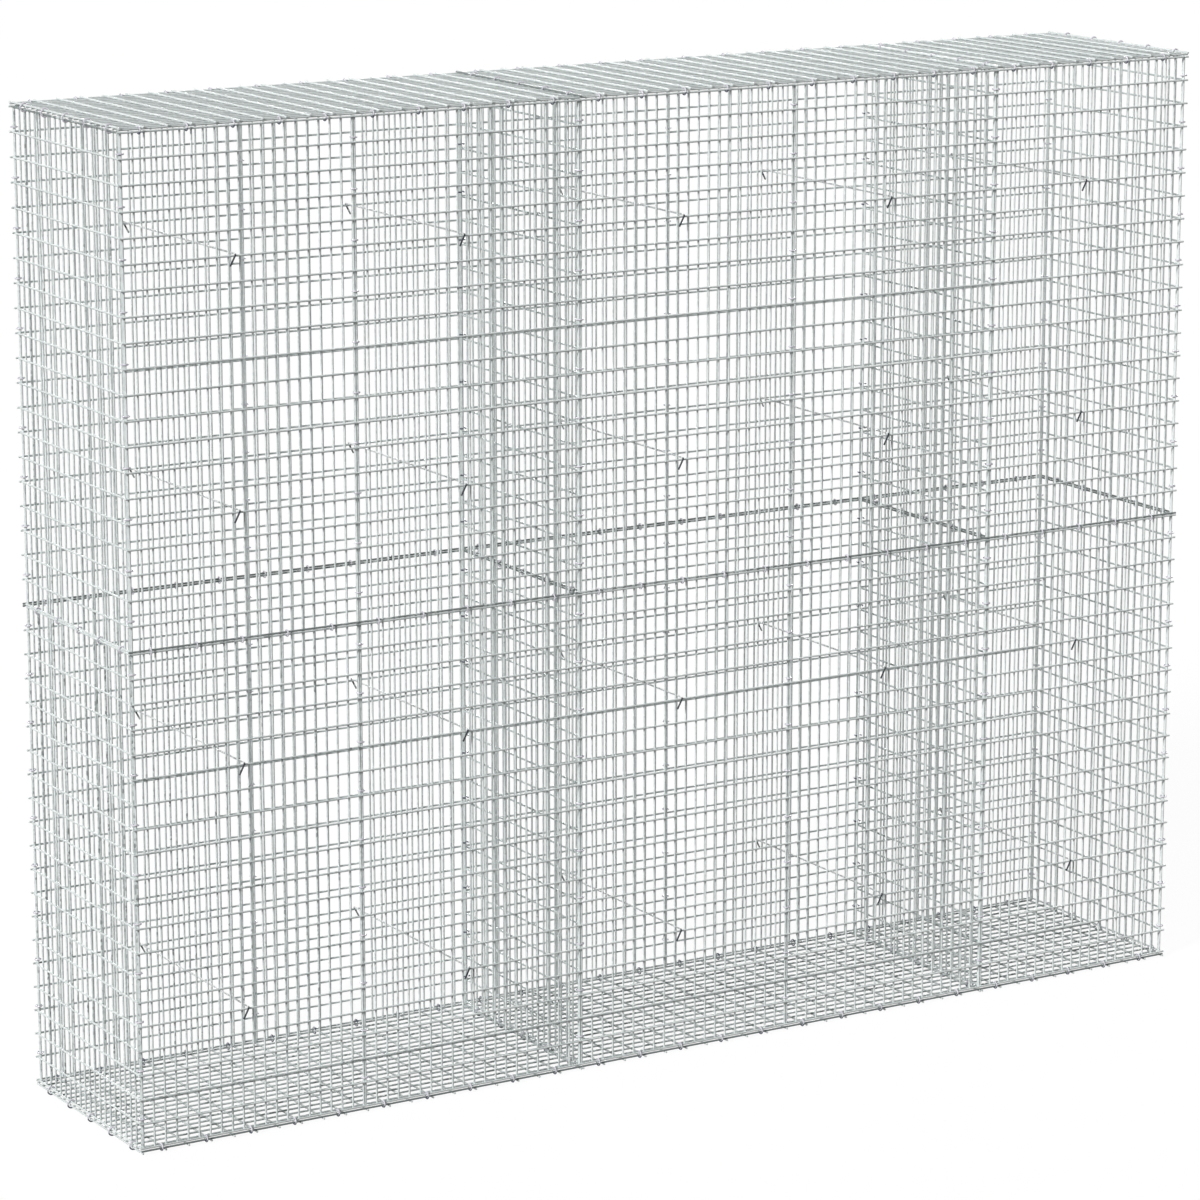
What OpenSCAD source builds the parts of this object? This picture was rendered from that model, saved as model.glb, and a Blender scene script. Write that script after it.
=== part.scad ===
// Gabion wall: a tall stone basket of welded galvanised wire mesh, in three bays and two tiers.
// X runs along the wall, the front is at -Y, Z is up and the origin is under the middle of the base.

/* [Overall size] */
// Length of the first bay, at the left end
bay_1_length = 1000; // [500:50:1500]
// Length of the middle bay
bay_2_length = 1000; // [500:50:1500]
// Length of the last bay, at the right end
bay_3_length = 500; // [300:50:1500]
// Depth of the wall over the clips of its front and back
wall_depth = 500; // [300:50:1000]
// Height of one tier of panels, of which two stand on each other
tier_height = 1000; // [500:50:1200]

/* [Mesh] */
// Diameter of the mesh wire
wire_d = 4; // [3:0.5:5]
// Nominal spacing of the wide-set wires, which lie on the outside
wide_pitch = 50; // [40:5:100]
// Close-set wires for each spacing of the wide-set wires
close_per_wide = 2; // [1:1:3]
// How far the wide-set wires run past the faces at the corners
wire_stub = 1.5; // [0.5:0.5:10]

/* [Clips] */
// Diameter of the clip wire
clip_d = 3; // [2:0.25:4]
// Spacing of the clips along an edge
clip_pitch = 100; // [50:50:200]
// Angle left open between the two ends of a clip
clip_open_angle = 24; // [10:2:60]

/* [Ties] */
// Diameter of the tie wire
tie_d = 3.5; // [2.5:0.25:5]
// Length of the straight tail below each hook
tie_tail = 22; // [10:1:40]
// Angle by which the front tails lean to the left, and the back tails to the right
tie_lean_angle = 20; // [0:1:40]

/* [Hidden] */
// How far one wire sinks into the other at a weld of a panel's edge
weld_sink = 0.45;
// Gap left between the two layers of wires away from a panel's edges
layer_gap = 0.2;
// Gap between the edge wires of panels that meet
seam_gap = 0.6;
// Gap between a clip and the wires that it holds
clip_clear = 0.3;
// Gap between a tie and the wire that it rests on
tie_clear = 0.3;
// Place of a clip on an upright edge, as a share of the spacing above a wide-set wire
upright_clip_share = 0.2;
// Place of the ties along a panel of the front, as a share of its length
panel_tie_share = 0.5;
// Places of the ties up a tier, as shares of the tier
tier_tie_shares = [0.25, 0.75];
// Sides of a mesh wire, and the turn that puts its flats where its corners were
wire_sides = 6;
wire_turn = 30;
// Fineness of the round clips and ties
ring_fn = 32;
round_fn = 16;
zinc = [0.68, 0.71, 0.70];
clip_zinc = [0.76, 0.78, 0.79];
tie_zinc = [0.50, 0.53, 0.54];

// A wire measures wire_d over its flats, and 2 corner_r over the corners that face out of its panel
wire_half = wire_d / 2;
corner_r = wire_half / cos(180 / wire_sides);
// The close-set wires lie layer_off behind the wide-set ones; an edge wire moves in to meet its welds
layer_off = 2 * corner_r + layer_gap;
edge_shift = weld_sink + layer_gap;
weld_off = layer_off - edge_shift;
// The floor and cover rest on flats of their wide-set wires, so their layers lie closer
flat_layer_off = wire_half + corner_r + layer_gap;
flat_weld_off = flat_layer_off - edge_shift;
// Distance of an edge wire, of a wall and of the floor or cover, from the line where two panels meet
seam_half = wire_half + seam_gap / 2;
flat_seam_half = corner_r + seam_gap / 2;

wall_length = bay_1_length + bay_2_length + bay_3_length;
wall_height = 2 * tier_height;
bay_lengths = [bay_1_length, bay_2_length, bay_3_length];
last_bay = len(bay_lengths) - 1;
joint_x = [-wall_length / 2, bay_1_length - wall_length / 2, wall_length / 2 - bay_3_length,
    wall_length / 2];
// Lines where the panels of the front and back meet: two panels side by side close each long bay
face_x = [joint_x[0], joint_x[1] - bay_1_length / 2, joint_x[1], joint_x[1] + bay_2_length / 2,
    joint_x[2], joint_x[3]];
last_face = len(face_x) - 2;

// Heights over the floor's underside: its edge wires both ways, and the lowest wire of the walls
floor_cross_rise = wire_half + edge_shift;
floor_long_rise = wire_half + flat_weld_off;
wall_rise = wire_d + flat_layer_off + corner_r + seam_gap;

// Corners of a wire's section, the middle of several sections, and the clip that goes round them
function section(c, turn) = [for (i = [0 : wire_sides - 1])
    c + corner_r * [cos(i * 360 / wire_sides + turn), sin(i * 360 / wire_sides + turn)]];
function middle(pts) = [for (k = [0, 1])
    (min([for (p = pts) p[k]]) + max([for (p = pts) p[k]])) / 2];
function clip_r(pts) = max([for (p = pts) norm(p - middle(pts))]) + clip_clear;
function clip_reach(pts) = clip_r(pts) + clip_d;

// Wires held by the clips at the foot and top of the ends, and of the front and back, seen along the edge
end_foot_held = concat(section([0, floor_cross_rise], 0), section([0, wall_rise], 0));
face_foot_held = concat(section([0, floor_long_rise], wire_turn), section([0, wall_rise], 0));

// Edge wires of the floor and cover, in line with those of the walls; their clips reach the overall size
edge_x = wall_length / 2 - clip_reach(end_foot_held);
edge_y = wall_depth / 2 - clip_reach(face_foot_held);
// Centres of the wide-set wires of the ends and of the front and back
end_x = edge_x + edge_shift;
face_y = edge_y + edge_shift;
// Ends of the wide-set wires of the front and back, and of the floor and cover
line_end = end_x + corner_r + wire_stub;
cross_end = face_y + corner_r + wire_stub;
// First upright of the front and back, just clear of the end panels' wide-set wires
corner_x = end_x - corner_r - seam_gap - wire_half;
// First upright of the ends and partitions, just clear of the uprights of the front and back
cross_y = face_y - weld_off - corner_r - seam_gap - wire_half;
// Wide-set and edge wires of a partition, from the line where its bays meet
partition_wide_off = layer_off / 2;
partition_edge_off = partition_wide_off - edge_shift;
partition_upright_off = partition_wide_off - weld_off;

// Wires held by the other kinds of clip
partition_foot_held = concat(section([-flat_seam_half, floor_cross_rise], 0),
    section([flat_seam_half, floor_cross_rise], 0), section([partition_edge_off, wall_rise], 0));
tier_held = concat(section([0, -seam_half], 0), section([0, seam_half], 0));
corner_held = concat(section([corner_x, face_y - weld_off], wire_turn),
    section([end_x - weld_off, cross_y], 0));
seam_held = concat(section([-seam_half, face_y - weld_off], wire_turn),
    section([seam_half, face_y - weld_off], wire_turn));
partition_held = concat(section([-seam_half, face_y - weld_off], wire_turn),
    section([seam_half, face_y - weld_off], wire_turn), section([partition_upright_off, cross_y], 0));

// The floor's underside stands clear of the ground by the clips that go under its cross edges
function clip_drop(pts) = clip_reach(pts) - middle(pts)[1];
foot_rise = max(clip_drop(end_foot_held), clip_drop(partition_foot_held));

// Heights of the lowest and highest wire of each tier
tier_low = [foot_rise + wall_rise, tier_height + seam_half];
tier_high = [tier_height - seam_half, wall_height - foot_rise - wall_rise];

// Numbers of spacings, and the places of the wires
function wide_count(size) = max(2, round(size / wide_pitch));
tier_count = wide_count(tier_height);
depth_count = wide_count(wall_depth) * close_per_wide;
function bay_count(bay) = wide_count(bay_lengths[bay]);
function close_count(face) = wide_count(face_x[face + 1] - face_x[face]) * close_per_wide;
function between(low, high, i, count) = low + (high - low) * i / count;
function is_edge(i, count) = i == 0 || i == count;
function panel_left(face) = face == 0 ? -corner_x : face_x[face] + seam_half;
function panel_right(face) = face == last_face ? corner_x : face_x[face + 1] - seam_half;
function line_left(face) = face == 0 ? -line_end : face_x[face] + seam_gap / 2;
function line_right(face) = face == last_face ? line_end : face_x[face + 1] - seam_gap / 2;
function floor_left(bay) = bay == 0 ? -edge_x : joint_x[bay] + flat_seam_half;
function floor_right(bay) = bay == last_bay ? edge_x : joint_x[bay + 1] - flat_seam_half;
function upright_x(face, i) = between(panel_left(face), panel_right(face), i, close_count(face));
function line_z(tier, i) = between(tier_low[tier], tier_high[tier], i, tier_count);
function cross_upright_y(i) = between(-cross_y, cross_y, i, depth_count);
function floor_wire_y(i) = between(-edge_y, edge_y, i, depth_count);

// Clips sit in the cell before a wide-set wire
clip_wides = max(1, round(clip_pitch / wide_pitch));
clip_step = clip_wides * close_per_wide;
clip_first = close_per_wide - 1;
function clip_x(face, i) = (upright_x(face, i) + upright_x(face, i + 1)) / 2;
function clip_y(i) = (cross_upright_y(i) + cross_upright_y(i + 1)
    + floor_wire_y(i) + floor_wire_y(i + 1)) / 4;
function clip_z(tier, i) = line_z(tier, i) + upright_clip_share * (line_z(tier, 1) - line_z(tier, 0));

// Six-sided wires along each axis; turned ones have their flats on the other side
module wire_along_x(left, right, y, z, turn = 0)
    translate([left, y, z]) rotate([0, 90, 0]) rotate([0, 0, turn])
        cylinder(h = right - left, r = corner_r, $fn = wire_sides);

module wire_along_y(low, high, x, z, turn = 0)
    translate([x, low, z]) rotate([-90, 0, 0]) rotate([0, 0, turn])
        cylinder(h = high - low, r = corner_r, $fn = wire_sides);

module wire_along_z(low, high, x, y, turn = 0)
    translate([x, y, low]) rotate([0, 0, turn])
        cylinder(h = high - low, r = corner_r, $fn = wire_sides);

// Front and back panel: wide-set wires run along the wall outside the close-set uprights
module face_panel(side, face, tier) union() {
    for (i = [0 : tier_count])
        wire_along_x(line_left(face), line_right(face),
            side * (is_edge(i, tier_count) ? edge_y : face_y), line_z(tier, i), wire_turn);
    for (i = [0 : close_count(face)])
        wire_along_z(tier_low[tier] - wire_half, tier_high[tier] + wire_half, upright_x(face, i),
            side * (face_y - (is_edge(i, close_count(face)) ? weld_off : layer_off)), wire_turn);
}

// End panel or partition at x, whose wide-set wires run across the wall on its outer side
module cross_panel(x, side, tier) union() {
    for (i = [0 : tier_count])
        wire_along_y(-cross_y - wire_half, cross_y + wire_half,
            x - side * (is_edge(i, tier_count) ? edge_shift : 0), line_z(tier, i));
    for (i = [0 : depth_count])
        wire_along_z(tier_low[tier] - wire_half, tier_high[tier] + wire_half,
            x - side * (is_edge(i, depth_count) ? weld_off : layer_off), cross_upright_y(i));
}

// Floor, or cover when turned over: wide-set wires run across it outside the close-set long wires
module flat_panel(z, side, bay) union() {
    for (i = [0 : bay_count(bay)])
        wire_along_y(-cross_end, cross_end,
            between(floor_left(bay), floor_right(bay), i, bay_count(bay)),
            z + side * (wire_half + (is_edge(i, bay_count(bay)) ? edge_shift : 0)));
    for (i = [0 : depth_count])
        wire_along_x(floor_left(bay) - corner_r, floor_right(bay) + corner_r, floor_wire_y(i),
            z + side * (wire_half + (is_edge(i, depth_count) ? flat_weld_off : flat_layer_off)));
}

// Open ring round the wires that it holds, with its gap at the given angle
module clip(held, gap_angle)
    rotate([0, 0, gap_angle + clip_open_angle / 2])
        rotate_extrude(angle = 360 - clip_open_angle, $fn = ring_fn)
            translate([clip_r(held) + clip_d / 2, 0]) circle(d = clip_d, $fn = round_fn);

// Clips along the front and back; dir is up or down, the way out of the wall
module clips_along_x(held, z, dir)
    for (side = [-1, 1], face = [0 : last_face], i = [clip_first : clip_step : close_count(face) - 1])
        translate([clip_x(face, i), side * edge_y, z - dir * middle(held)[1]])
            rotate([0, 90, 0]) clip(held, -90 * side);

// Clips across the wall at x
module clips_along_y(held, x, z, dir, gap_angle)
    for (i = [clip_first : clip_step : depth_count - 1])
        translate([x + middle(held)[0], clip_y(i), z - dir * middle(held)[1]])
            rotate([-90, 0, 0]) clip(held, gap_angle);

// Clips up an edge at the place that its wires give
module clips_along_z(held, x, flip, side, gap_angle)
    for (tier = [0, 1], i = [1 : clip_wides : tier_count - 1])
        translate([x + flip * middle(held)[0], side * middle(held)[1], clip_z(tier, i)])
            clip(held, gap_angle);

module upright_clips(side) {
    clips_along_z(corner_held, 0, -1, side, -45 * side);
    clips_along_z(partition_held, joint_x[1], 1, side, -90 * side);
    clips_along_z(partition_held, joint_x[2], 1, side, -90 * side);
    clips_along_z(seam_held, face_x[1], 1, side, -90 * side);
    clips_along_z(seam_held, face_x[3], 1, side, -90 * side);
    clips_along_z(corner_held, 0, 1, side, -135 * side);
}

// Rows across the wall at the foot and at the top, where dir is -1 and 1
module cross_edge_clips(z, dir) {
    clips_along_y(end_foot_held, -edge_x, z, dir, 0);
    clips_along_y(partition_foot_held, joint_x[1], z, dir, 90 * dir);
    clips_along_y(partition_foot_held, joint_x[2], z, dir, 90 * dir);
    clips_along_y(end_foot_held, edge_x, z, dir, 180);
}

// Tie over the wires of the front and back: a bar with a bend and a hanging tail at each end
tie_bend_r = corner_r + tie_clear + tie_d / 2;

// Half a tie, from its tail past the middle of the wall, where the halves run into each other
module tie_half(side)
    translate([0, side * face_y, 0]) {
        rotate([90 * side, 0, 0]) cylinder(h = face_y + tie_tail, d = tie_d, $fn = round_fn);
        translate([0, 0, -tie_bend_r]) rotate([90, 0, 90 * side])
            rotate_extrude(angle = 90, $fn = ring_fn)
                translate([tie_bend_r, 0]) circle(d = tie_d, $fn = round_fn);
        translate([0, side * tie_bend_r, -tie_bend_r]) rotate([180, 0, 0])
            cylinder(h = tie_tail, d = tie_d, $fn = round_fn);
    }

module tie(x, z)
    translate([x, 0, z + tie_bend_r]) union()
        for (side = [-1, 1]) rotate([0, -side * tie_lean_angle, 0]) tie_half(side);

function tie_cell(face) = round(panel_tie_share * close_count(face)) - 1;
function tie_line(share) = round(share * tier_count);

module tier_ties(tier)
    for (face = [0 : last_face], rise = tier_tie_shares)
        tie(clip_x(face, tie_cell(face)), line_z(tier, tie_line(rise)));

module front_low_1() color(zinc) face_panel(-1, 0, 0);
module front_low_2() color(zinc) face_panel(-1, 1, 0);
module front_low_3() color(zinc) face_panel(-1, 2, 0);
module front_low_4() color(zinc) face_panel(-1, 3, 0);
module front_low_5() color(zinc) face_panel(-1, 4, 0);
module front_high_1() color(zinc) face_panel(-1, 0, 1);
module front_high_2() color(zinc) face_panel(-1, 1, 1);
module front_high_3() color(zinc) face_panel(-1, 2, 1);
module front_high_4() color(zinc) face_panel(-1, 3, 1);
module front_high_5() color(zinc) face_panel(-1, 4, 1);
module back_low_1() color(zinc) face_panel(1, 0, 0);
module back_low_2() color(zinc) face_panel(1, 1, 0);
module back_low_3() color(zinc) face_panel(1, 2, 0);
module back_low_4() color(zinc) face_panel(1, 3, 0);
module back_low_5() color(zinc) face_panel(1, 4, 0);
module back_high_1() color(zinc) face_panel(1, 0, 1);
module back_high_2() color(zinc) face_panel(1, 1, 1);
module back_high_3() color(zinc) face_panel(1, 2, 1);
module back_high_4() color(zinc) face_panel(1, 3, 1);
module back_high_5() color(zinc) face_panel(1, 4, 1);
module left_end_low() color(zinc) cross_panel(-end_x, -1, 0);
module left_end_high() color(zinc) cross_panel(-end_x, -1, 1);
module right_end_low() color(zinc) cross_panel(end_x, 1, 0);
module right_end_high() color(zinc) cross_panel(end_x, 1, 1);
module partition_1_low() color(zinc) cross_panel(joint_x[1] + partition_wide_off, 1, 0);
module partition_1_high() color(zinc) cross_panel(joint_x[1] + partition_wide_off, 1, 1);
module partition_2_low() color(zinc) cross_panel(joint_x[2] + partition_wide_off, 1, 0);
module partition_2_high() color(zinc) cross_panel(joint_x[2] + partition_wide_off, 1, 1);
module floor_1() color(zinc) flat_panel(foot_rise, 1, 0);
module floor_2() color(zinc) flat_panel(foot_rise, 1, 1);
module floor_3() color(zinc) flat_panel(foot_rise, 1, 2);
module cover_1() color(zinc) flat_panel(wall_height - foot_rise, -1, 0);
module cover_2() color(zinc) flat_panel(wall_height - foot_rise, -1, 1);
module cover_3() color(zinc) flat_panel(wall_height - foot_rise, -1, 2);

module foot_clips() color(clip_zinc) clips_along_x(face_foot_held, foot_rise, -1);
module middle_clips() color(clip_zinc) clips_along_x(tier_held, tier_height, -1);
module top_clips() color(clip_zinc) clips_along_x(face_foot_held, wall_height - foot_rise, 1);
module cross_foot_clips() color(clip_zinc) cross_edge_clips(foot_rise, -1);
module cross_middle_clips() color(clip_zinc) {
    clips_along_y(tier_held, -edge_x, tier_height, -1, 0);
    clips_along_y(tier_held, joint_x[1] + partition_edge_off, tier_height, -1, 180);
    clips_along_y(tier_held, joint_x[2] + partition_edge_off, tier_height, -1, 180);
    clips_along_y(tier_held, edge_x, tier_height, -1, 180);
}
module cross_top_clips() color(clip_zinc) cross_edge_clips(wall_height - foot_rise, 1);
module front_upright_clips() color(clip_zinc) upright_clips(-1);
module back_upright_clips() color(clip_zinc) upright_clips(1);

module low_ties() color(tie_zinc) tier_ties(0);
module high_ties() color(tie_zinc) tier_ties(1);

front_low_1();
front_low_2();
front_low_3();
front_low_4();
front_low_5();
front_high_1();
front_high_2();
front_high_3();
front_high_4();
front_high_5();
back_low_1();
back_low_2();
back_low_3();
back_low_4();
back_low_5();
back_high_1();
back_high_2();
back_high_3();
back_high_4();
back_high_5();
left_end_low();
left_end_high();
right_end_low();
right_end_high();
partition_1_low();
partition_1_high();
partition_2_low();
partition_2_high();
floor_1();
floor_2();
floor_3();
cover_1();
cover_2();
cover_3();
foot_clips();
middle_clips();
top_clips();
cross_foot_clips();
cross_middle_clips();
cross_top_clips();
front_upright_clips();
back_upright_clips();
low_ties();
high_ties();
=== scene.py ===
import math

import bpy
import numpy as np
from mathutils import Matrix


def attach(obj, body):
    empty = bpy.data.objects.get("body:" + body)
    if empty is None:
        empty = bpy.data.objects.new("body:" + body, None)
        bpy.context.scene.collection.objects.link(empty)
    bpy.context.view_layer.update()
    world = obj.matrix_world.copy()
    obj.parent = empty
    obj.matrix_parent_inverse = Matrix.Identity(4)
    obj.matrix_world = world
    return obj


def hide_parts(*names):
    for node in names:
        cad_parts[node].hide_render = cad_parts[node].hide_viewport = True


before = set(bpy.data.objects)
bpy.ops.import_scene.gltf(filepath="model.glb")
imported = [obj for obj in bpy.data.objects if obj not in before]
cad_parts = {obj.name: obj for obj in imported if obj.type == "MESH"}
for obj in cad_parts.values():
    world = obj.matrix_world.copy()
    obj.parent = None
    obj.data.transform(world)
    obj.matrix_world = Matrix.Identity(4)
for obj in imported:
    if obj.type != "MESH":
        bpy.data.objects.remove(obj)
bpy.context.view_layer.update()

# Floor mats: three sheets of welded steel mesh lie side by side on the ground, one to a bay.
# Cross wires 50 mm apart lie underneath, and long wires 25 mm apart are resistance-welded on top.
# The sheets are welded from bright wire, cut to size and then dipped in molten zinc.
X, Y, Z = 0, 1, 2
WIDE, CLOSE = 0, 1
MESH_WIRE = 0.004
CUT_BEVEL = 0.0005
WIRE_SIDES = 10
WIRE_CREASE = math.radians(40)
WELD_HALF, WELD_WAIST, WELD_RISE = 0.0017, 0.0011, 0.0008
BAY_LINES = np.array([-1.25, -0.25, 0.75, 1.25])
BAY_WIDE_SPACINGS = np.array([20, 20, 10])
DEPTH_SPACINGS = 20
FLOOR_EDGE_X, FLOOR_EDGE_Y = 1.240212, 0.241632
FLOOR_SEAM = 0.00261
FLOOR_CROSS_Z, FLOOR_LONG_Z = 0.00633, 0.00954
CROSS_WIRE_END_Y = 0.246092
GOLDEN_STEP = 0.6180339887
LAYER_SEED_STEP, BAY_SEED_STEP = 7, 11
# Painted shade: the floor's long wires are darker all over, and its front edge wire darker still
# where the front panels' foot wire lies on it.
FLOOR_LONG_SHADE = -2.5
FLOOR_SEAM_SHADES = {(CLOSE, 0): -5.0}


def loft(points):
    """Corner numbers of the faces of lofted shapes: the quads, and the caps at both ends.

    points is an array (shape, ring, corner, xyz). Each ring runs on to the next, and the last
    corner of a ring to its first. The first and the last ring of a shape are filled by one face.
    """
    shapes, rings, sides = points.shape[:3]
    index = np.arange(shapes * rings * sides).reshape(shapes, rings, sides)
    low, high = index[:, :-1], index[:, 1:]
    quads = np.stack([low, np.roll(low, -1, 2), np.roll(high, -1, 2), high], -1).reshape(-1, 4)
    caps = np.concatenate([index[:, 0, ::-1], index[:, -1]])
    return quads, caps


def solid_piece(name, shapes, tones, material, crease=WIRE_CREASE):
    """One mesh object from lofted shapes, with a tone of its own for each shape or each ring.

    shapes is a list of arrays (shape, ring, corner, xyz), and tones a list of arrays
    (shape, ring or 1, 1). Edges that turn by more than the crease stay sharp.
    """
    corners, sizes, loops, values, count = [], [], [], [], 0
    for array, tone in zip(shapes, tones):
        corners.append(array.reshape(-1, 3))
        values.append(np.broadcast_to(tone, array.shape[:3]).ravel())
        for faces in loft(array):
            loops.append((faces + count).ravel())
            sizes.append(np.full(len(faces), faces.shape[1]))
        count += len(corners[-1])
    corners, loops, sizes = (np.concatenate(parts) for parts in (corners, loops, sizes))
    mesh = bpy.data.meshes.new(name)
    mesh.vertices.add(len(corners))
    mesh.vertices.foreach_set("co", corners.astype(np.float32).ravel())
    mesh.loops.add(len(loops))
    mesh.loops.foreach_set("vertex_index", loops.astype(np.int32))
    mesh.polygons.add(len(sizes))
    mesh.polygons.foreach_set("loop_start", (np.cumsum(sizes) - sizes).astype(np.int32))
    mesh.polygons.foreach_set("use_smooth", np.ones(len(sizes), bool))
    # The attribute holds each wire's random tone together with painted shade and highlights.
    tone_layer = mesh.attributes.new("wire_tone_and_painted_light", "FLOAT", "POINT")
    tone_layer.data.foreach_set("value", np.concatenate(values).astype(np.float32))
    mesh.update(calc_edges=True)
    mesh.validate()
    mesh.set_sharp_from_angle(angle=crease)
    mesh.materials.append(material)
    piece = bpy.data.objects.new(name, mesh)
    bpy.context.scene.collection.objects.link(piece)
    return piece


def straight_wires(start, end):
    """Straight round wires between points, as arrays (wire, ring, corner, xyz).

    A circle of the wire's radius is carried from start to end. It is smaller by the bevel at the
    two cut ends.
    """
    along = end - start
    length = np.linalg.norm(along, axis=1, keepdims=True)
    along = along / length
    side = np.roll(along, 1, 1)
    up = np.cross(along, side)
    turn = 2 * np.pi * (np.arange(WIRE_SIDES) + 0.5) / WIRE_SIDES
    circle = side[:, None] * np.cos(turn)[:, None] + up[:, None] * np.sin(turn)[:, None]
    radius = MESH_WIRE / 2 - np.array([CUT_BEVEL, 0, 0, CUT_BEVEL])
    place = np.concatenate([np.zeros_like(length), np.full_like(length, CUT_BEVEL),
                            length - CUT_BEVEL, length], 1)
    middle = start[:, None] + along[:, None] * place[..., None]
    return middle[:, :, None] + circle[:, None] * radius[:, None, None]


def weld_spots(centres, normal):
    """Beads of squeezed-out metal at the crossings, as arrays (bead, ring, corner, xyz).

    Each bead is a square ring between two smaller ones, stacked along the sheet's normal axis.
    """
    first, second = (normal + 1) % 3, (normal + 2) % 3
    half = np.array([WELD_WAIST, WELD_HALF, WELD_WAIST])
    rise = np.array([-WELD_RISE, 0, WELD_RISE])
    offset = np.zeros((3, 4, 3))
    offset[..., first] = half[:, None] * np.array([1, -1, -1, 1])
    offset[..., second] = half[:, None] * np.array([1, 1, -1, -1])
    offset[..., normal] = rise[:, None]
    return centres[:, None, None] + offset


def wire_tones(count, seed):
    """Tone of each wire, from minus one to one: steps of the golden ratio, wrapped round."""
    return (2 * np.mod((np.arange(count) + seed) * GOLDEN_STEP, 1.0) - 1)[:, None, None]


def welded_sheet(name, normal, wide, close, seed, seams, wide_tone=0.0, close_tone=0.0):
    """One sheet of welded mesh, from its wide-set and its close-set wires.

    wide and close are (axis that the wires run along, level along the normal, span, places
    across). A bead sits at each crossing, halfway between the two levels. seams gives the tone
    added to single wires by set and number, as painted shade where they lie against another
    sheet. The two tones, painted light and shade for whole panels, are added to all wires of a set.
    """
    arrays = []
    for axis, level, (low, high), places in (wide, close):
        across = X + Y + Z - normal - axis
        start = np.zeros((len(places), 3))
        start[:, normal], start[:, across], start[:, axis] = level, places, low
        end = start.copy()
        end[:, axis] = high
        arrays.append(straight_wires(start, end))
    wide_axis, wide_level, _, wide_places = wide
    close_axis, close_level, _, close_places = close
    spots = np.zeros((len(wide_places), len(close_places), 3))
    spots[..., normal] = (wide_level + close_level) / 2
    spots[..., close_axis] = wide_places[:, None]
    spots[..., wide_axis] = close_places[None]
    arrays.append(weld_spots(spots.reshape(-1, 3), normal))
    tones = [wire_tones(len(a), seed + LAYER_SEED_STEP * k) for k, a in enumerate(arrays)]
    tones[WIDE] += wide_tone
    tones[CLOSE] += close_tone
    for (layer, wire), tone in seams.items():
        tones[layer][wire] += tone
    return solid_piece(name, arrays, tones, mesh_zinc)


# ZINC_SHADE is painted shade: tones far below zero, set on shaded wires, run down to it.
ZINC_SHADE = (0.25, 0.28, 0.275, 1.0)
ZINC_DARK, ZINC_PALE = (0.66, 0.71, 0.705, 1.0), (0.86, 0.905, 0.895, 1.0)
MESH_ROUGHNESS, MESH_SPANGLE, MESH_TONE_SHARE = 0.45, 160, 0.12
DARK_STOP, PALE_STOP = 0.2, 0.9
CRYSTAL_SHARE, CLOUD_SHARE = 0.45, 0.7
CLOUD_SCALE, CLOUD_DETAIL = 22, 4
PIT_SCALE, PIT_DETAIL, PIT_STRENGTH, PIT_DEPTH = 900, 3, 0.25, 0.0002
ROUGHNESS_FALL, ROUGHNESS_RISE = 0.1, 0.12
ZINC_METALLIC, ZINC_SPECULAR = 0.04, 0.2


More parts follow.
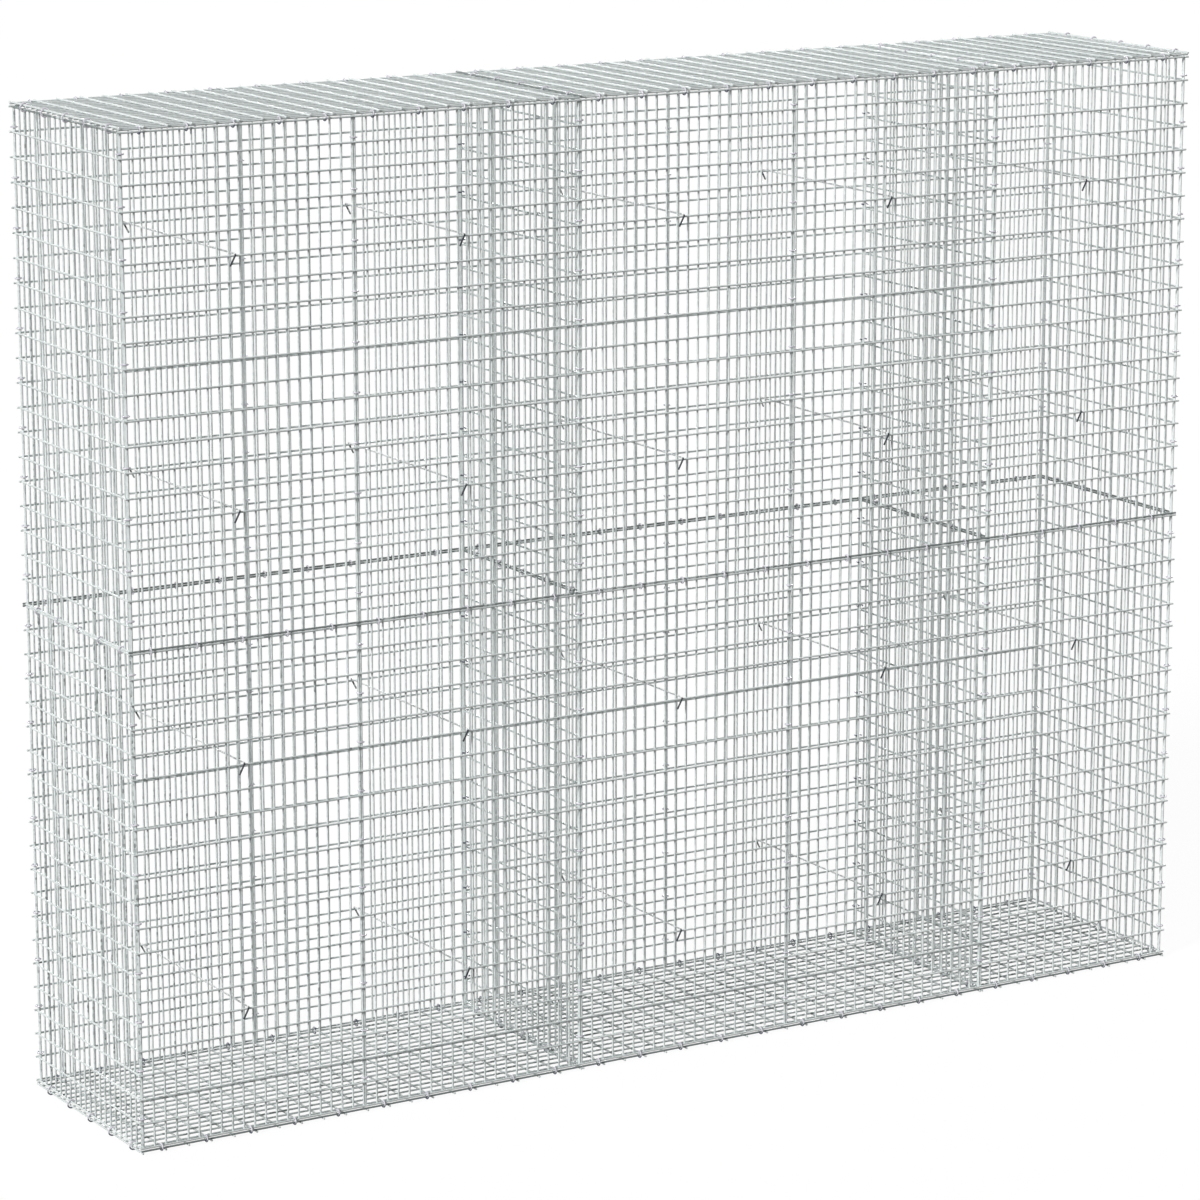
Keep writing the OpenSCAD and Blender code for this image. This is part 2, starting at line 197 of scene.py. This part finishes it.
def zinc_finish(name, painted_shade, dark, pale, roughness, spangle_scale, tone_share):
    """Hot-dip zinc: crystal spangle, cloudy patches, a tone for each wire, fine pitting as bump."""
    finish = bpy.data.materials.new(name)
    finish.use_nodes = True
    tree = finish.node_tree
    new, link = tree.nodes.new, tree.links.new
    shader = tree.nodes["Principled BSDF"]
    place = new("ShaderNodeTexCoord").outputs["Object"]
    spangle = new("ShaderNodeTexVoronoi")
    spangle.inputs["Scale"].default_value = spangle_scale
    cloud = new("ShaderNodeTexNoise")
    cloud.inputs["Scale"].default_value = CLOUD_SCALE
    cloud.inputs["Detail"].default_value = CLOUD_DETAIL
    pits = new("ShaderNodeTexNoise")
    pits.inputs["Scale"].default_value = PIT_SCALE
    pits.inputs["Detail"].default_value = PIT_DETAIL
    for node in (spangle, cloud, pits):
        link(place, node.inputs["Vector"])
    crystal = new("ShaderNodeSeparateColor")
    link(spangle.outputs["Color"], crystal.inputs["Color"])
    tone = new("ShaderNodeAttribute")
    tone.attribute_name = "wire_tone_and_painted_light"
    crystal_part = new("ShaderNodeMath")
    crystal_part.operation = "MULTIPLY"
    crystal_part.inputs[1].default_value = CRYSTAL_SHARE
    link(crystal.outputs["Red"], crystal_part.inputs[0])
    cloud_part = new("ShaderNodeMath")
    cloud_part.operation = "MULTIPLY_ADD"
    cloud_part.inputs[1].default_value = CLOUD_SHARE
    link(cloud.outputs["Fac"], cloud_part.inputs[0])
    link(crystal_part.outputs["Value"], cloud_part.inputs[2])
    mixed = new("ShaderNodeMath")
    mixed.operation = "MULTIPLY_ADD"
    mixed.inputs[1].default_value = tone_share
    mixed.use_clamp = True
    link(tone.outputs["Fac"], mixed.inputs[0])
    link(cloud_part.outputs["Value"], mixed.inputs[2])
    # The ramp's lowest stop is the painted shade colour, which tones far below zero reach.
    ramp = new("ShaderNodeValToRGB")
    stops = ramp.color_ramp.elements
    stops.new(DARK_STOP).color = dark
    stops[0].color = painted_shade
    stops[2].position, stops[2].color = PALE_STOP, pale
    link(mixed.outputs["Value"], ramp.inputs["Fac"])
    link(ramp.outputs["Color"], shader.inputs["Base Color"])
    rough = new("ShaderNodeMapRange")
    rough.inputs["To Min"].default_value = roughness - ROUGHNESS_FALL
    rough.inputs["To Max"].default_value = roughness + ROUGHNESS_RISE
    link(cloud_part.outputs["Value"], rough.inputs["Value"])
    link(rough.outputs["Result"], shader.inputs["Roughness"])
    bump = new("ShaderNodeBump")
    bump.inputs["Strength"].default_value = PIT_STRENGTH
    bump.inputs["Distance"].default_value = PIT_DEPTH
    link(pits.outputs["Fac"], bump.inputs["Height"])
    link(bump.outputs["Normal"], shader.inputs["Normal"])
    shader.inputs["Metallic"].default_value = ZINC_METALLIC
    shader.inputs["Specular IOR Level"].default_value = ZINC_SPECULAR
    return finish


def place_sheet(piece, node):
    """The sheet rides with the basket and stands in for its solid, which is hidden."""
    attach(piece, "root")
    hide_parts(node)


mesh_zinc = zinc_finish("galvanised_mesh", ZINC_SHADE, ZINC_DARK, ZINC_PALE,
                        MESH_ROUGHNESS, MESH_SPANGLE, MESH_TONE_SHARE)
floor_left = np.append(-FLOOR_EDGE_X, BAY_LINES[1:3] + FLOOR_SEAM)
floor_right = np.append(BAY_LINES[1:3] - FLOOR_SEAM, FLOOR_EDGE_X)
floor_long_y = np.linspace(-FLOOR_EDGE_Y, FLOOR_EDGE_Y, DEPTH_SPACINGS + 1)


def lying_sheet(name, node, bay, cross_z, long_z, seed, seams, long_shade=0.0):
    """A floor or cover sheet: cross wires over the bay's length, long wires edge to edge."""
    left, right = floor_left[bay], floor_right[bay]
    cross_x = np.linspace(left, right, BAY_WIDE_SPACINGS[bay] + 1)
    long_span = (left - MESH_WIRE / 2, right + MESH_WIRE / 2)
    sheet = welded_sheet(name, Z, (Y, cross_z, (-CROSS_WIRE_END_Y, CROSS_WIRE_END_Y), cross_x),
                         (X, long_z, long_span, floor_long_y), seed, seams, close_tone=long_shade)
    place_sheet(sheet, node)


for bay in range(len(BAY_WIDE_SPACINGS)):
    lying_sheet(f"floor_sheet_{bay + 1}", f"floor_{bay + 1}", bay, FLOOR_CROSS_Z, FLOOR_LONG_Z,
                BAY_SEED_STEP * bay, FLOOR_SEAM_SHADES, FLOOR_LONG_SHADE)

# Ends and partitions: panels of the same mesh stand across the wall in two tiers, on the floor.
# Their wide-set wires run level on the outer side, and the uprights 25 mm apart inside them.
# A partition stands at each line where two bays meet, so that the long faces don't bulge.
TIER_LOW, TIER_HIGH = np.array([0.015096, 1.0023]), np.array([0.9977, 1.984904])
TIER_SPACINGS = 20
END_WIDE_X, END_CLOSE_X = 1.240212, 1.236693
PARTITION_OFF = 0.00176
CROSS_Y = 0.233204
# Seam entries paint shade on single edge wires: where the two tiers meet, and along the left end's
# top under the cover's edge.
TIER_SEAM_SHADES = [{(WIDE, -1): -3.5}, {(WIDE, 0): -6.0}]
LEFT_SEAM_SHADES = [{}, {(WIDE, -1): -6.5}]
# Painted shade: the partitions and the right end are darker, and the left end's uprights too, the
# lower tier more.
LEFT_SHADE, RIGHT_SHADE, PARTITION_SHADE = 0.0, -1.5, -2.2
LEFT_CLOSE_SHADES, PLAIN_TONES = [-2.0, -1.2], [0.0, 0.0]
CROSS_SEED, CROSS_SEED_STEP, CROSS_TIER_STEP = 40, 5, 3
cross_upright_y = np.linspace(-CROSS_Y, CROSS_Y, DEPTH_SPACINGS + 1)


def tier_lines(tier):
    """Heights of a tier's level wires, evenly spaced from its lowest to its highest."""
    return np.linspace(TIER_LOW[tier], TIER_HIGH[tier], TIER_SPACINGS + 1)


def upright_span(tier):
    """Lower and upper end of a tier's uprights, which are cut flush with its edge wires."""
    return TIER_LOW[tier] - MESH_WIRE / 2, TIER_HIGH[tier] + MESH_WIRE / 2


cross_panels = [
    ("left_end", -END_WIDE_X, -END_CLOSE_X, LEFT_SEAM_SHADES, LEFT_SHADE, LEFT_CLOSE_SHADES),
    ("right_end", END_WIDE_X, END_CLOSE_X, TIER_SEAM_SHADES, RIGHT_SHADE, PLAIN_TONES),
    ("partition_1", BAY_LINES[1] + PARTITION_OFF, BAY_LINES[1] - PARTITION_OFF,
     TIER_SEAM_SHADES, PARTITION_SHADE, PLAIN_TONES),
    ("partition_2", BAY_LINES[2] + PARTITION_OFF, BAY_LINES[2] - PARTITION_OFF,
     TIER_SEAM_SHADES, PARTITION_SHADE, PLAIN_TONES)]
for number, (panel, wide_x, close_x, seams, wide_tone, close_tones) in enumerate(cross_panels):
    for tier, level in enumerate(("low", "high")):
        level_span = (-CROSS_Y - MESH_WIRE / 2, CROSS_Y + MESH_WIRE / 2)
        sheet = welded_sheet(
            f"{panel}_sheet_{level}", X, (Y, wide_x, level_span, tier_lines(tier)),
            (Z, close_x, upright_span(tier), cross_upright_y),
            CROSS_SEED + CROSS_SEED_STEP * number + CROSS_TIER_STEP * tier,
            seams[tier], wide_tone, close_tones[tier])
        place_sheet(sheet, f"{panel}_{level}")

# Front and back: ten half-metre panels each, five along the wall in two tiers, made like the rest.
# The level wires lie outside and end just past the corners, and the uprights lie behind them.
# Neighbours meet edge wire to edge wire, at the bay lines and in the middle of each long bay.
FACE_LINES = np.array([-1.25, -0.75, -0.25, 0.25, 0.75, 1.25])
FACE_SPACINGS = 20
FACE_WIDE_Y, FACE_CLOSE_Y = 0.241632, 0.238113
CORNER_X, LINE_END_X = 1.235953, 1.244671
FACE_SEAM, LINE_SEAM = 0.0023, 0.0003
# Painted shade on the front's tier joint, on the upper tier's foot wire only.
FRONT_SEAM_SHADES = [{}, {(WIDE, 0): -6.0}]
# Painted light and shade on the front and back panels: the lower tier darker, the columns lighter
# from left to right.
TIER_TONES, COLUMN_TONES = np.array([-0.8, 0.3]), np.linspace(-0.6, 1.8, 5)
FACE_SEED, FACE_SEED_STEP, FACE_TIER_STEP = 80, 13, 5
face_tones = TIER_TONES[:, None] + COLUMN_TONES
upright_left = np.append(-CORNER_X, FACE_LINES[1:-1] + FACE_SEAM)
upright_right = np.append(FACE_LINES[1:-1] - FACE_SEAM, CORNER_X)
line_left = np.append(-LINE_END_X, FACE_LINES[1:-1] + LINE_SEAM)
line_right = np.append(FACE_LINES[1:-1] - LINE_SEAM, LINE_END_X)
upright_x = np.linspace(upright_left, upright_right, FACE_SPACINGS + 1, axis=1)

for face, side, seams in (("front", -1, FRONT_SEAM_SHADES), ("back", 1, TIER_SEAM_SHADES)):
    for tier, level in enumerate(("low", "high")):
        for column, tone in enumerate(face_tones[tier]):
            line_span = (line_left[column], line_right[column])
            sheet = welded_sheet(
                f"{face}_sheet_{level}_{column + 1}", Y,
                (X, side * FACE_WIDE_Y, line_span, tier_lines(tier)),
                (Z, side * FACE_CLOSE_Y, upright_span(tier), upright_x[column]),
                FACE_SEED + FACE_SEED_STEP * column + FACE_TIER_STEP * tier + side,
                seams[tier], tone, tone)
            place_sheet(sheet, f"{face}_{level}_{column + 1}")

# Cover: three sheets like the floor's close the top once the stone is in, laid the other way up.
# Their cross wires are outermost, so the long wires bear on the walls' top edge wires.
WALL_TOP = 2.0
# Painted shade on the first cover sheet's last cross wire, at the seam with the next sheet.
COVER_SEAM_SHADES = [{(WIDE, -1): -6.0}, {}, {}]
COVER_SEED = 150
for bay, seams in enumerate(COVER_SEAM_SHADES):
    lying_sheet(f"cover_sheet_{bay + 1}", f"cover_{bay + 1}", bay, WALL_TOP - FLOOR_CROSS_Z,
                WALL_TOP - FLOOR_LONG_Z, COVER_SEED + BAY_SEED_STEP * bay, seams)

# Clips: open rings of bright zinc-coated spring wire bind the edge wires every 100 mm.
# A pneumatic plier closes each ring round the wires of the panels that meet, with its gap inwards.
# Both cut ends are chisel points.
CLIP_WIRE = 0.003
CLIP_GAP = math.radians(24)
CLIP_RINGS, CLIP_SIDES = 15, 6
CLIP_CREASE = math.radians(65)
CLIP_POINT_SHARE, CLIP_POINT_TAPER = 1 / 3, 12
RING_AXES = [((0, 0, -1), (0, 1, 0)), ((1, 0, 0), (0, 0, -1)), ((1, 0, 0), (0, 1, 0))]
TIER_JOINT = 1.0
FOOT_RISE = 0.003677
FACE_FOOT_RISE, FACE_FOOT_RING = 0.008484, 0.006868
END_FOOT_RISE, END_FOOT_RING = 0.007034, 0.008288
PARTITION_FOOT_RING = 0.009211
TIER_RING = 0.006252
CORNER_CLIP_X, CORNER_CLIP_Y, CORNER_RING = 1.236478, 0.235813, 0.006609
PARTITION_CLIP_Y, PARTITION_RING = 0.235813, 0.007316
SEAM_CLIP_Y, SEAM_RING = 0.238113, 0.006252
CLIP_CLOSE_STEP, CLIP_WIDE_STEP = 4, 2
UPRIGHT_CLIP_RISE = 0.2
CLIP_ZINC_SHADE = (0.13, 0.14, 0.19, 1.0)
CLIP_ZINC_DARK, CLIP_ZINC_PALE = (0.62, 0.60, 0.68, 1.0), (0.88, 0.85, 0.91, 1.0)
CLIP_ROUGHNESS, CLIP_SPANGLE, CLIP_TONE_SHARE = 0.34, 260, 0.12
# Painted shade: each ring turns to its shade colour on the side given for its row, underneath or
# inwards.
CLIP_SHADE_TONE, CLIP_SHADE_EDGE = -7.0, 4
DOWN, FORWARD, NO_SIDE = (0, 0, -1), (0, -1, 0), (0, 0, 0)
LEVEL_CLIP_SEED, UPRIGHT_CLIP_SEED = 200, 220
CROSS_CLIP_SEED, CROSS_MIDDLE_SEED = 240, 260
clip_zinc = zinc_finish("galvanised_clip", CLIP_ZINC_SHADE, CLIP_ZINC_DARK, CLIP_ZINC_PALE,
                        CLIP_ROUGHNESS, CLIP_SPANGLE, CLIP_TONE_SHARE)


def open_rings(centres, first, second, ring_radius, gap_angle):
    """Open rings round points, as arrays (ring, section, corner, xyz).

    A small circle is carried round a circle in the plane of the two axes, from one side of the
    gap to the other. Its radius falls to a third at the two points.
    """
    first, second = np.asarray(first, float), np.asarray(second, float)
    axis = np.cross(first, second)
    share = np.linspace(0, 1, CLIP_RINGS)
    angle = gap_angle + CLIP_GAP / 2 + share * (2 * np.pi - CLIP_GAP)
    out = np.cos(angle)[:, None] * first + np.sin(angle)[:, None] * second
    taper = CLIP_POINT_SHARE + CLIP_POINT_TAPER * np.minimum(share, 1 - share)
    radius = CLIP_WIRE / 2 * np.minimum(1, taper)
    turn = 2 * np.pi * np.arange(CLIP_SIDES) / CLIP_SIDES
    section = np.cos(turn)[:, None] * out[:, None] - np.sin(turn)[:, None] * axis
    ring = ring_radius * out[:, None] + radius[:, None, None] * section
    return centres[:, None, None] + ring


def clip_row(x, y, z, edge, ring_radius, gap_degrees):
    """One row of clips at places that are single values or arrays. edge is the axis it binds."""
    centres = np.stack(np.broadcast_arrays(x, y, z), -1).reshape(-1, 3).astype(float)
    return open_rings(centres, *RING_AXES[edge], ring_radius, math.radians(gap_degrees))


def clip_tones(rings, seed, shade_side):
    """Tone of each section of the rings, with painted shade on the given side of its ring's middle.
    """
    sections = rings.mean(2)
    offset = sections - rings.mean((1, 2))[:, None]
    facing = offset @ np.asarray(shade_side, float) / np.linalg.norm(offset, axis=2)
    shade_share = np.clip(CLIP_SHADE_EDGE * facing, 0, 1)[..., None]
    return wire_tones(len(rings), seed) + CLIP_SHADE_TONE * shade_share


def clip_piece(name, rows, seed, shade_sides):
    """The rows of clips that share a solid, as one piece, with the painted-shade side of each row.
    """
    tones = [clip_tones(r, seed + k, way) for k, (r, way) in enumerate(zip(rows, shade_sides))]
    piece = solid_piece(name + "_rings", rows, tones, clip_zinc, CLIP_CREASE)
    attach(piece, "root")
    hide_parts(name)


clip_x = ((upright_x[:, 1:-1:CLIP_CLOSE_STEP] + upright_x[:, 2::CLIP_CLOSE_STEP]) / 2).ravel()
clip_y = (cross_upright_y[1:-1:CLIP_CLOSE_STEP] + cross_upright_y[2::CLIP_CLOSE_STEP]
          + floor_long_y[1:-1:CLIP_CLOSE_STEP] + floor_long_y[2::CLIP_CLOSE_STEP]) / 4
tier_pitch = (TIER_HIGH - TIER_LOW) / TIER_SPACINGS
clip_z = np.concatenate([tier_lines(t)[1:-1:CLIP_WIDE_STEP] + UPRIGHT_CLIP_RISE * tier_pitch[t]
                         for t in (0, 1)])

level_rows = {"foot": (FOOT_RISE + FACE_FOOT_RISE, FACE_FOOT_RING, [DOWN, FORWARD]),
              "middle": (TIER_JOINT, TIER_RING, [NO_SIDE, NO_SIDE]),
              "top": (WALL_TOP - FOOT_RISE - FACE_FOOT_RISE, FACE_FOOT_RING, [DOWN, DOWN])}
for row, (z, ring, shade_sides) in level_rows.items():
    clip_piece(f"{row}_clips", [clip_row(clip_x, side * FACE_WIDE_Y, z, X, ring, -90 * side)
                                for side in (-1, 1)], LEVEL_CLIP_SEED, shade_sides)

for face, side in (("front", -1), ("back", 1)):
    corners = [clip_row(end * CORNER_CLIP_X, side * CORNER_CLIP_Y, clip_z, Z, CORNER_RING,
                        -(90 + 45 * end) * side) for end in (-1, 1)]
    lines = [clip_row(x, side * PARTITION_CLIP_Y, clip_z, Z, PARTITION_RING, -90 * side)
             for x in BAY_LINES[1:3]]
    seams = [clip_row(x, side * SEAM_CLIP_Y, clip_z, Z, SEAM_RING, -90 * side)
             for x in FACE_LINES[1:4:2]]
    inward = (0, -side, 0)
    clip_piece(f"{face}_upright_clips", corners + lines + seams, UPRIGHT_CLIP_SEED + side,
               [NO_SIDE, NO_SIDE, inward, inward, NO_SIDE, NO_SIDE])


def cross_rows(z, end_ring, line_x, line_ring, line_gap):
    """Rows of clips across the wall: at the left end, the right end and the two partitions."""
    ends = [clip_row(-FLOOR_EDGE_X, clip_y, z, Y, end_ring, 0),
            clip_row(FLOOR_EDGE_X, clip_y, z, Y, end_ring, 180)]
    return ends + [clip_row(x, clip_y, z, Y, line_ring, line_gap) for x in line_x]


clip_piece("cross_foot_clips", cross_rows(FOOT_RISE + END_FOOT_RISE, END_FOOT_RING,
                                          BAY_LINES[1:3], PARTITION_FOOT_RING, -90),
           CROSS_CLIP_SEED, [DOWN, DOWN, DOWN, DOWN])
clip_piece("cross_top_clips", cross_rows(WALL_TOP - FOOT_RISE - END_FOOT_RISE, END_FOOT_RING,
                                         BAY_LINES[1:3], PARTITION_FOOT_RING, 90),
           CROSS_CLIP_SEED, [NO_SIDE, DOWN, DOWN, DOWN])
clip_piece("cross_middle_clips", cross_rows(TIER_JOINT, TIER_RING, BAY_LINES[1:3] + PARTITION_OFF,
                                            TIER_RING, 180),
           CROSS_MIDDLE_SEED, [NO_SIDE, NO_SIDE, NO_SIDE, NO_SIDE])

# Ties: bright drawn bars hook over the level wires of front and back, so the faces can't spread.
# Each end is bent down round the wire and hangs as a straight tail, leaning left in front and
# right behind. The bends and front tails carry painted shade, and the bars a painted highlight.
TIE_WIRE, TIE_TAIL = 0.0035, 0.022
TIE_LEAN = math.radians(28)
TIE_SIDES, TIE_BEND_STEPS = 10, 8
TIE_BAR_END = 0.97
TIE_CELL, TIE_LINES = 9, [5, 15]
# TIE_ZINC_SHADE is the painted shade colour of the tails and bends.
TIE_ZINC_SHADE, TIE_ZINC_PALE = (0.045, 0.05, 0.06, 1.0), (0.88, 0.90, 0.90, 1.0)
TIE_ROUGHNESS, TIE_SPANGLE, TIE_TONE_SHARE = 0.5, 200, 0.8
TIE_TAIL_SHADE, TIE_BAR_HIGHLIGHT, TIE_BACK_TONE = -1.0, 0.35, 0.0
tie_zinc = zinc_finish("galvanised_tie", TIE_ZINC_SHADE, TIE_ZINC_SHADE, TIE_ZINC_PALE,
                       TIE_ROUGHNESS, TIE_SPANGLE, TIE_TONE_SHARE)


def hooked_bars(x, z):
    """Ties over the wires at the given places along and up the wall.

    Returns arrays (tie, ring, corner, xyz) and the tone of each ring. A circle is carried up one
    tail, round a quarter bend, along the bar and down the other way. The path is worked out in
    the upright plane across the wall, and each half then turns about the bar by its lean.
    """
    bend = MESH_WIRE / 2 + TIE_WIRE / 2
    quarter = np.linspace(0, np.pi / 2, TIE_BEND_STEPS)
    tail = TIE_TAIL * np.array([1, 1 - CUT_BEVEL / TIE_TAIL, 0.5])
    end_y = FACE_WIDE_Y + bend * np.concatenate([np.ones(len(tail)), np.cos(quarter)])
    end_z = np.concatenate([-tail - bend, bend * np.sin(quarter) - bend])
    bar_y = FACE_WIDE_Y * np.array([TIE_BAR_END, 0, -TIE_BAR_END])
    path_y = np.concatenate([-end_y, -bar_y, end_y[::-1]])
    path_z = np.concatenate([end_z, np.zeros(len(bar_y)), end_z[::-1]])
    path = np.stack([np.zeros_like(path_y), path_y, path_z], -1)
    tangent = np.gradient(path, axis=0)
    tangent /= np.linalg.norm(tangent, axis=1, keepdims=True)
    side = np.broadcast_to([1.0, 0, 0], path.shape)
    up = np.cross(side, tangent)
    radius = np.full(len(path), TIE_WIRE / 2)
    radius[[0, -1]] -= CUT_BEVEL
    turn = 2 * np.pi * np.arange(TIE_SIDES) / TIE_SIDES
    ring = side[:, None] * np.cos(turn)[:, None] - up[:, None] * np.sin(turn)[:, None]
    shape_x, shape_y, shape_z = np.moveaxis(path[:, None] + ring * radius[:, None, None], -1, 0)
    lean = -TIE_LEAN * np.clip(path_y / bar_y[0], -1, 1)[:, None]
    shape = np.stack([shape_x * np.cos(lean) + shape_z * np.sin(lean), shape_y,
                      shape_z * np.cos(lean) - shape_x * np.sin(lean)], -1)
    # Painted shade on the front tail, a painted highlight on the bar, blended round both bends.
    bend_shade_to_highlight = np.linspace(TIE_TAIL_SHADE, TIE_BAR_HIGHLIGHT, len(quarter))
    tone = np.concatenate([np.full(len(tail), TIE_TAIL_SHADE), bend_shade_to_highlight,
                           np.full(len(bar_y), TIE_BAR_HIGHLIGHT), bend_shade_to_highlight[::-1],
                           np.full(len(tail), TIE_BACK_TONE)])
    over = np.stack([x, np.zeros_like(x), z + bend], -1)
    return over[:, None, None] + shape, tone[None, :, None]


tie_x = (upright_x[:, TIE_CELL] + upright_x[:, TIE_CELL + 1]) / 2
for tier, level in enumerate(("low", "high")):
    grid_x, grid_z = np.meshgrid(tie_x, tier_lines(tier)[TIE_LINES])
    bars, tones = hooked_bars(grid_x.ravel(), grid_z.ravel())
    piece = solid_piece(f"{level}_ties_bars", [bars], [tones], tie_zinc)
    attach(piece, "root")
    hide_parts(f"{level}_ties")

# Studio: a wide white floor, an even white sky, one soft lamp from the upper left and a low,
# weaker one from behind on the right, which lights the sides that face away from the first.
# The lamps light the floor a little, so it keeps the basket's shadow and shows white to the camera.
FLOOR_HALF = 60.0
FLOOR_GREY, FLOOR_GLOW = 0.08, 0.945
SKY_LIGHT, SKY_SEEN = 0.265, 1.0
KEY_STRENGTH, KEY_TILT, KEY_TURN = 2.85, math.radians(64), math.radians(-70)
FILL_STRENGTH, FILL_TILT, FILL_TURN = 1.4, math.radians(84), math.radians(148)
LAMP_SOFTNESS = math.radians(10)

floor_mesh = bpy.data.meshes.new("studio_floor")
floor_corners = [(-FLOOR_HALF, -FLOOR_HALF, 0), (FLOOR_HALF, -FLOOR_HALF, 0),
                 (FLOOR_HALF, FLOOR_HALF, 0), (-FLOOR_HALF, FLOOR_HALF, 0)]
floor_mesh.from_pydata(floor_corners, [], [(0, 1, 2, 3)])
floor = bpy.data.objects.new("studio_floor", floor_mesh)
bpy.context.scene.collection.objects.link(floor)


def seen_directly(tree):
    """One for rays from the camera or from gloss or glass, and nothing for light that spreads."""
    path = tree.nodes.new("ShaderNodeLightPath")
    seen = path.outputs["Is Camera Ray"]
    for name in ("Is Glossy Ray", "Is Transmission Ray"):
        more = tree.nodes.new("ShaderNodeMath")
        more.operation = "MAXIMUM"
        tree.links.new(seen, more.inputs[0])
        tree.links.new(path.outputs[name], more.inputs[1])
        seen = more.outputs["Value"]
    return seen


floor_white = bpy.data.materials.new("studio_floor_white")
floor_white.use_nodes = True
floor_tree = floor_white.node_tree
floor_tree.nodes.clear()
matt = floor_tree.nodes.new("ShaderNodeBsdfDiffuse")
matt.inputs["Color"].default_value = (FLOOR_GREY, FLOOR_GREY, FLOOR_GREY, 1)
glow = floor_tree.nodes.new("ShaderNodeEmission")
glow_share = floor_tree.nodes.new("ShaderNodeMath")
glow_share.operation = "MULTIPLY"
glow_share.inputs[1].default_value = FLOOR_GLOW
floor_tree.links.new(seen_directly(floor_tree), glow_share.inputs[0])
floor_tree.links.new(glow_share.outputs["Value"], glow.inputs["Strength"])
both = floor_tree.nodes.new("ShaderNodeAddShader")
floor_tree.links.new(matt.outputs["BSDF"], both.inputs[0])
floor_tree.links.new(glow.outputs["Emission"], both.inputs[1])
floor_output = floor_tree.nodes.new("ShaderNodeOutputMaterial")
floor_tree.links.new(both.outputs["Shader"], floor_output.inputs["Surface"])
floor_mesh.materials.append(floor_white)

sky = bpy.data.worlds.new("studio_sky")
sky.use_nodes = True
bpy.context.scene.world = sky
sky_tree = sky.node_tree
sky_level = sky_tree.nodes.new("ShaderNodeMapRange")
sky_level.inputs["To Min"].default_value = SKY_LIGHT
sky_level.inputs["To Max"].default_value = SKY_SEEN
sky_tree.links.new(seen_directly(sky_tree), sky_level.inputs["Value"])
background = sky_tree.nodes["Background"]
background.inputs["Color"].default_value = (1, 1, 1, 1)
sky_tree.links.new(sky_level.outputs["Result"], background.inputs["Strength"])

for name, strength, tilt, turn in (("studio_key", KEY_STRENGTH, KEY_TILT, KEY_TURN),
                                   ("studio_fill", FILL_STRENGTH, FILL_TILT, FILL_TURN)):
    lamp_data = bpy.data.lights.new(name, "SUN")
    lamp_data.energy, lamp_data.angle = strength, LAMP_SOFTNESS
    lamp = bpy.data.objects.new(name, lamp_data)
    lamp.rotation_euler = (tilt, 0, turn)
    bpy.context.scene.collection.objects.link(lamp)

# Camera: a long lens from the front left, a little over the top, as the basket is shown.
# It is tilted down and not shifted, so that the object stays in the middle of the other views.
CAMERA_PLACE = (-4.8705, -7.9553, 3.0533)
CAMERA_DOWN, CAMERA_TURN = math.radians(12.9436), math.radians(-31.1605)
CAMERA_LENS, CAMERA_SENSOR, CAMERA_REACH = 138.77, 36.0, 500.0

camera_data = bpy.data.cameras.new("camera")
camera_data.lens, camera_data.sensor_width = CAMERA_LENS, CAMERA_SENSOR
camera_data.clip_end = CAMERA_REACH
camera = bpy.data.objects.new("camera", camera_data)
camera.location = CAMERA_PLACE
camera.rotation_euler = (math.pi / 2 - CAMERA_DOWN, 0, CAMERA_TURN)
bpy.context.scene.collection.objects.link(camera)
bpy.context.scene.camera = camera
bpy.context.scene.view_settings.view_transform = "Standard"
